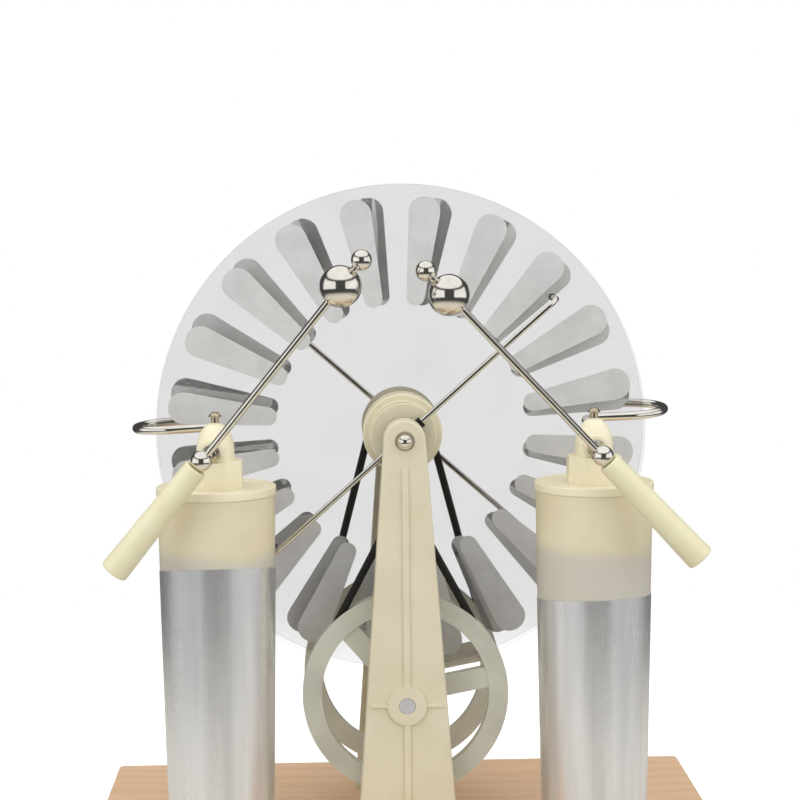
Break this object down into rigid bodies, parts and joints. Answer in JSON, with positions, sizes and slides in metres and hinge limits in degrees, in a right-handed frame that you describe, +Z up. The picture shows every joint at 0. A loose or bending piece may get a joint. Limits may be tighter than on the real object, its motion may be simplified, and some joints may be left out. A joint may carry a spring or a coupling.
{
  "type": "wimshurst machine",
  "caption": "Hand-cranked electrostatic machine with two facing foil-sector discs driven by belts, neutraliser rods, collectors, Leyden jars and a swinging spark gap on a wooden base.",
  "frame": {"origin": "on the resting plane, under the middle of the machine's overall box; the plane midway between the discs is Y = 0", "axes": "+Z up, +Y towards the crank side, +X to the right when facing the spark gap side"},
  "size_m": [0.354, 0.2566, 0.3915],
  "materials": {
    "beech": "clear varnished light beech",
    "cream_plastic": "satin cream moulded plastic",
    "nylon": "greyish white nylon",
    "handle_plastic": "cream acetal",
    "acrylic": "clear polished acrylic",
    "jar_plastic": "translucent cream plastic",
    "foil": "smooth matt aluminium foil",
    "nickel": "bright nickel plate",
    "steel": "turned bright steel",
    "zinc": "zinc plated steel",
    "belt_rubber": "round black rubber",
    "foot_rubber": "black rubber",
    "tinsel": "fine dark metal tinsel",
    "dark_metal": "blackened metal hub",
    "black_plastic": "black moulded plastic"
  },
  "bodies": {
    "stand": {"base_board": "beech", "rubber_feet": "foot_rubber", "foot_screws": "zinc", "upright_screws": "zinc", "front_upright": "cream_plastic", "rear_upright": "cream_plastic", "disc_axle": "steel", "axle_nuts": "nickel", "disc_spacer": "nylon", "front_belt": "belt_rubber", "rear_belt": "belt_rubber", "post_clamp_screws": "nickel", "pivot_studs": "nickel", "jar_link_strip": "foil", "left_jar": "jar_plastic", "left_outer_foil": "foil", "left_inner_foil": "foil", "left_lid": "cream_plastic", "left_post": "cream_plastic", "left_contact_rod": "steel", "left_collector": "nickel", "right_jar": "jar_plastic", "right_outer_foil": "foil", "right_inner_foil": "foil", "right_lid": "cream_plastic", "right_post": "cream_plastic", "right_contact_rod": "steel", "right_collector": "nickel"},
    "crank": {"crank_shaft": "steel", "front_wheel": "nylon", "rear_wheel": "nylon", "crank_arm": "steel", "crank_set_screws": "zinc", "grip_pin": "steel"},
    "grip": {"crank_grip": "black_plastic"},
    "front_rotor": {"front_disc": "acrylic", "front_sectors": "foil", "front_pulley": "cream_plastic", "front_pulley_screws": "zinc"},
    "front_neutralizer": {"front_neutralizer_hub": "dark_metal", "front_neutralizer_rod": "nickel", "front_neutralizer_brushes": "tinsel"},
    "rear_rotor": {"rear_disc": "acrylic", "rear_sectors": "foil", "rear_pulley": "cream_plastic", "rear_pulley_screws": "zinc"},
    "rear_neutralizer": {"rear_neutralizer_hub": "dark_metal", "rear_neutralizer_rod": "nickel", "rear_neutralizer_brushes": "tinsel"},
    "left_discharger": {"left_spark_rod": "nickel", "left_spark_ball": "nickel", "left_spark_tip": "nickel", "left_pivot_ball": "nickel", "left_handle": "handle_plastic"},
    "right_discharger": {"right_spark_rod": "nickel", "right_spark_ball": "nickel", "right_spark_tip": "nickel", "right_pivot_ball": "nickel", "right_handle": "handle_plastic"}
  },
  "joints": [
    {"name": "crank_turn", "type": "hinge", "parent": "stand", "child": "crank", "pos_m": [0, 0, 0.105], "axis": [0, 1, 0], "continuous": true},
    {"name": "grip_spin", "type": "hinge", "parent": "crank", "child": "grip", "pos_m": [0, 0.1, 0.047], "axis": [0, 1, 0], "continuous": true},
    {"name": "front_disc_spin", "type": "hinge", "parent": "stand", "child": "front_rotor", "pos_m": [0, -0.0045, 0.2515], "axis": [0, 1, 0], "continuous": true},
    {"name": "rear_disc_spin", "type": "hinge", "parent": "stand", "child": "rear_rotor", "pos_m": [0, 0.0045, 0.2515], "axis": [0, 1, 0], "continuous": true},
    {"name": "front_neutralizer_tilt", "type": "hinge", "parent": "stand", "child": "front_neutralizer", "pos_m": [0, -0.0424, 0.2515], "axis": [0, -1, 0], "range_deg": [-4, 20]},
    {"name": "rear_neutralizer_tilt", "type": "hinge", "parent": "stand", "child": "rear_neutralizer", "pos_m": [0, 0.0424, 0.2515], "axis": [0, 1, 0], "range_deg": [-20, 20]},
    {"name": "left_discharger_swing", "type": "hinge", "parent": "stand", "child": "left_discharger", "pos_m": [-0.10713, -0.10976, 0.2483], "axis": [0.1045, 0.9945, 0], "range_deg": [-75, 7.5]},
    {"name": "right_discharger_swing", "type": "hinge", "parent": "stand", "child": "right_discharger", "pos_m": [0.1015, -0.10999, 0.2483], "axis": [-0.0227, -0.9997, 0], "range_deg": [-75, 7.5]}
  ],
  "couplings": [
    {"joint": "front_disc_spin", "follows": "crank_turn", "ratio": -3.2716},
    {"joint": "rear_disc_spin", "follows": "crank_turn", "ratio": 3.2716}
  ]
}
